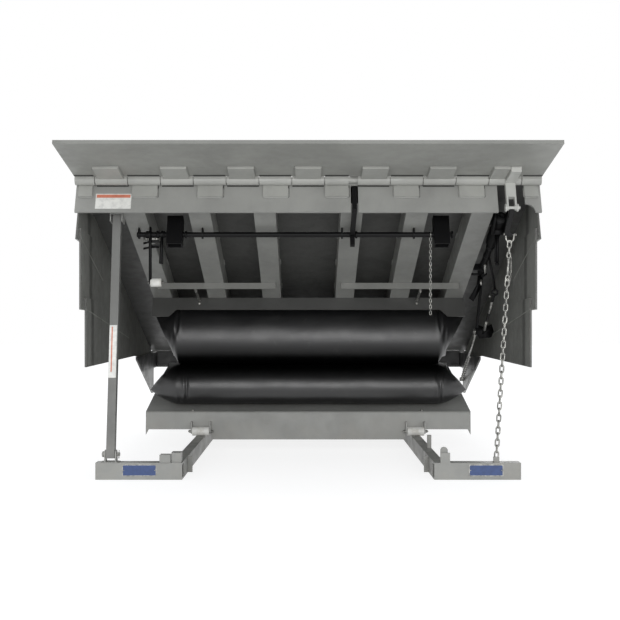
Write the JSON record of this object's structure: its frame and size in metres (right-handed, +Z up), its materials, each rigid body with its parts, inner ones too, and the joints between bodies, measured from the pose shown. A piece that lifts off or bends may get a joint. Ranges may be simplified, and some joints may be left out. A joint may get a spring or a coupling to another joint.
{
  "type": "air-powered dock leveler",
  "caption": "Pit-mounted loading dock ramp on a steel frame, raised by an air bag, with a hinged lip, toe guards, lip chain and maintenance prop.",
  "frame": {"origin": "centre of the leveler's outline on the pit floor", "axes": "+X to the right as seen from the lip, +Y from the lip to the rear frame, +Z up"},
  "size_m": [2.134, 2.786, 1.4702],
  "materials": {
    "painted_frame": "semi-gloss grey enamel",
    "painted_deck": "semi-gloss grey enamel",
    "black_linkage": "satin black",
    "zinc_steel": "zinc-plated, satin",
    "pin_steel": "plain turned steel",
    "bag_rubber": "coated fabric, soft sheen",
    "nylon": "white nylon"
  },
  "bodies": {
    "frame": {"rear_beam": "painted_frame", "rear_hinge_lugs": "painted_frame", "rear_hinge_pins": "pin_steel", "rear_wing_left": "painted_frame", "rear_wing_right": "painted_frame", "rear_post_left": "painted_frame", "rear_post_right": "painted_frame", "floor_rail_left": "painted_frame", "floor_rail_right": "painted_frame", "front_foot_left": "painted_frame", "front_foot_right": "painted_frame", "lip_keeper_left": "painted_frame", "lip_keeper_right": "painted_frame", "bag_pan": "painted_frame", "roller_brackets": "painted_frame", "air_bag_lower": "bag_rubber", "air_bag_upper": "bag_rubber", "prop_foot_bracket": "painted_frame", "lip_chain": "zinc_steel", "strut_chain": "zinc_steel"},
    "deck": {"deck_plate": "painted_deck", "joists_left": "painted_deck", "joists_right": "painted_deck", "header_plate": "painted_deck", "deck_knuckles": "painted_deck", "lip_hinge_pin": "pin_steel", "toe_guard_upper_left": "painted_deck", "toe_guard_upper_right": "painted_deck", "toe_guard_middle_left": "painted_deck", "toe_guard_middle_right": "painted_deck", "toe_guard_lower_left": "painted_deck", "toe_guard_lower_right": "painted_deck", "upper_bag_plate": "painted_deck", "cross_bars": "painted_deck", "shaft_bearings": "black_linkage", "prop_seat": "painted_deck", "pull_chain": "zinc_steel", "lip_strut": "black_linkage"},
    "lip": {"lip_plate": "painted_deck", "lip_knuckles": "painted_deck", "lip_lever": "painted_deck"},
    "legs": {"leg_shaft": "black_linkage", "safety_leg_left": "black_linkage", "safety_leg_right": "black_linkage", "leg_lever": "black_linkage", "trip_arm": "black_linkage"},
    "prop": {"maintenance_prop": "painted_deck"},
    "roller_left": {"pan_roller_left": "nylon"},
    "roller_right": {"pan_roller_right": "nylon"}
  },
  "joints": [
    {"name": "deck_tilt", "type": "hinge", "parent": "frame", "child": "deck", "pos_m": [0, 1.32201, 0.478], "axis": [-1, 0, 0], "range_deg": [0, 1.5], "deforming": ["air_bag_lower", "air_bag_upper", "lip_chain", "strut_chain"]},
    {"name": "lip_fold", "type": "hinge", "parent": "deck", "child": "lip", "pos_m": [0, -0.951, 1.35964], "axis": [1, 0, 0], "range_deg": [0, 80], "deforming": ["lip_chain"]},
    {"name": "leg_swing", "type": "hinge", "parent": "deck", "child": "legs", "pos_m": [0, -0.71624, 1.127], "axis": [1, 0, 0], "range_deg": [0, 30]},
    {"name": "prop_fold", "type": "hinge", "parent": "frame", "child": "prop", "pos_m": [-0.893, -1.013, 0.111], "axis": [-1, 0, 0], "range_deg": [0, 72]},
    {"name": "roller_left_spin", "type": "hinge", "parent": "frame", "child": "roller_left", "pos_m": [-0.5915, 0.015, 0.1003], "axis": [1, 0, 0], "continuous": true},
    {"name": "roller_right_spin", "type": "hinge", "parent": "frame", "child": "roller_right", "pos_m": [0.5915, 0.015, 0.1003], "axis": [1, 0, 0], "continuous": true}
  ]
}
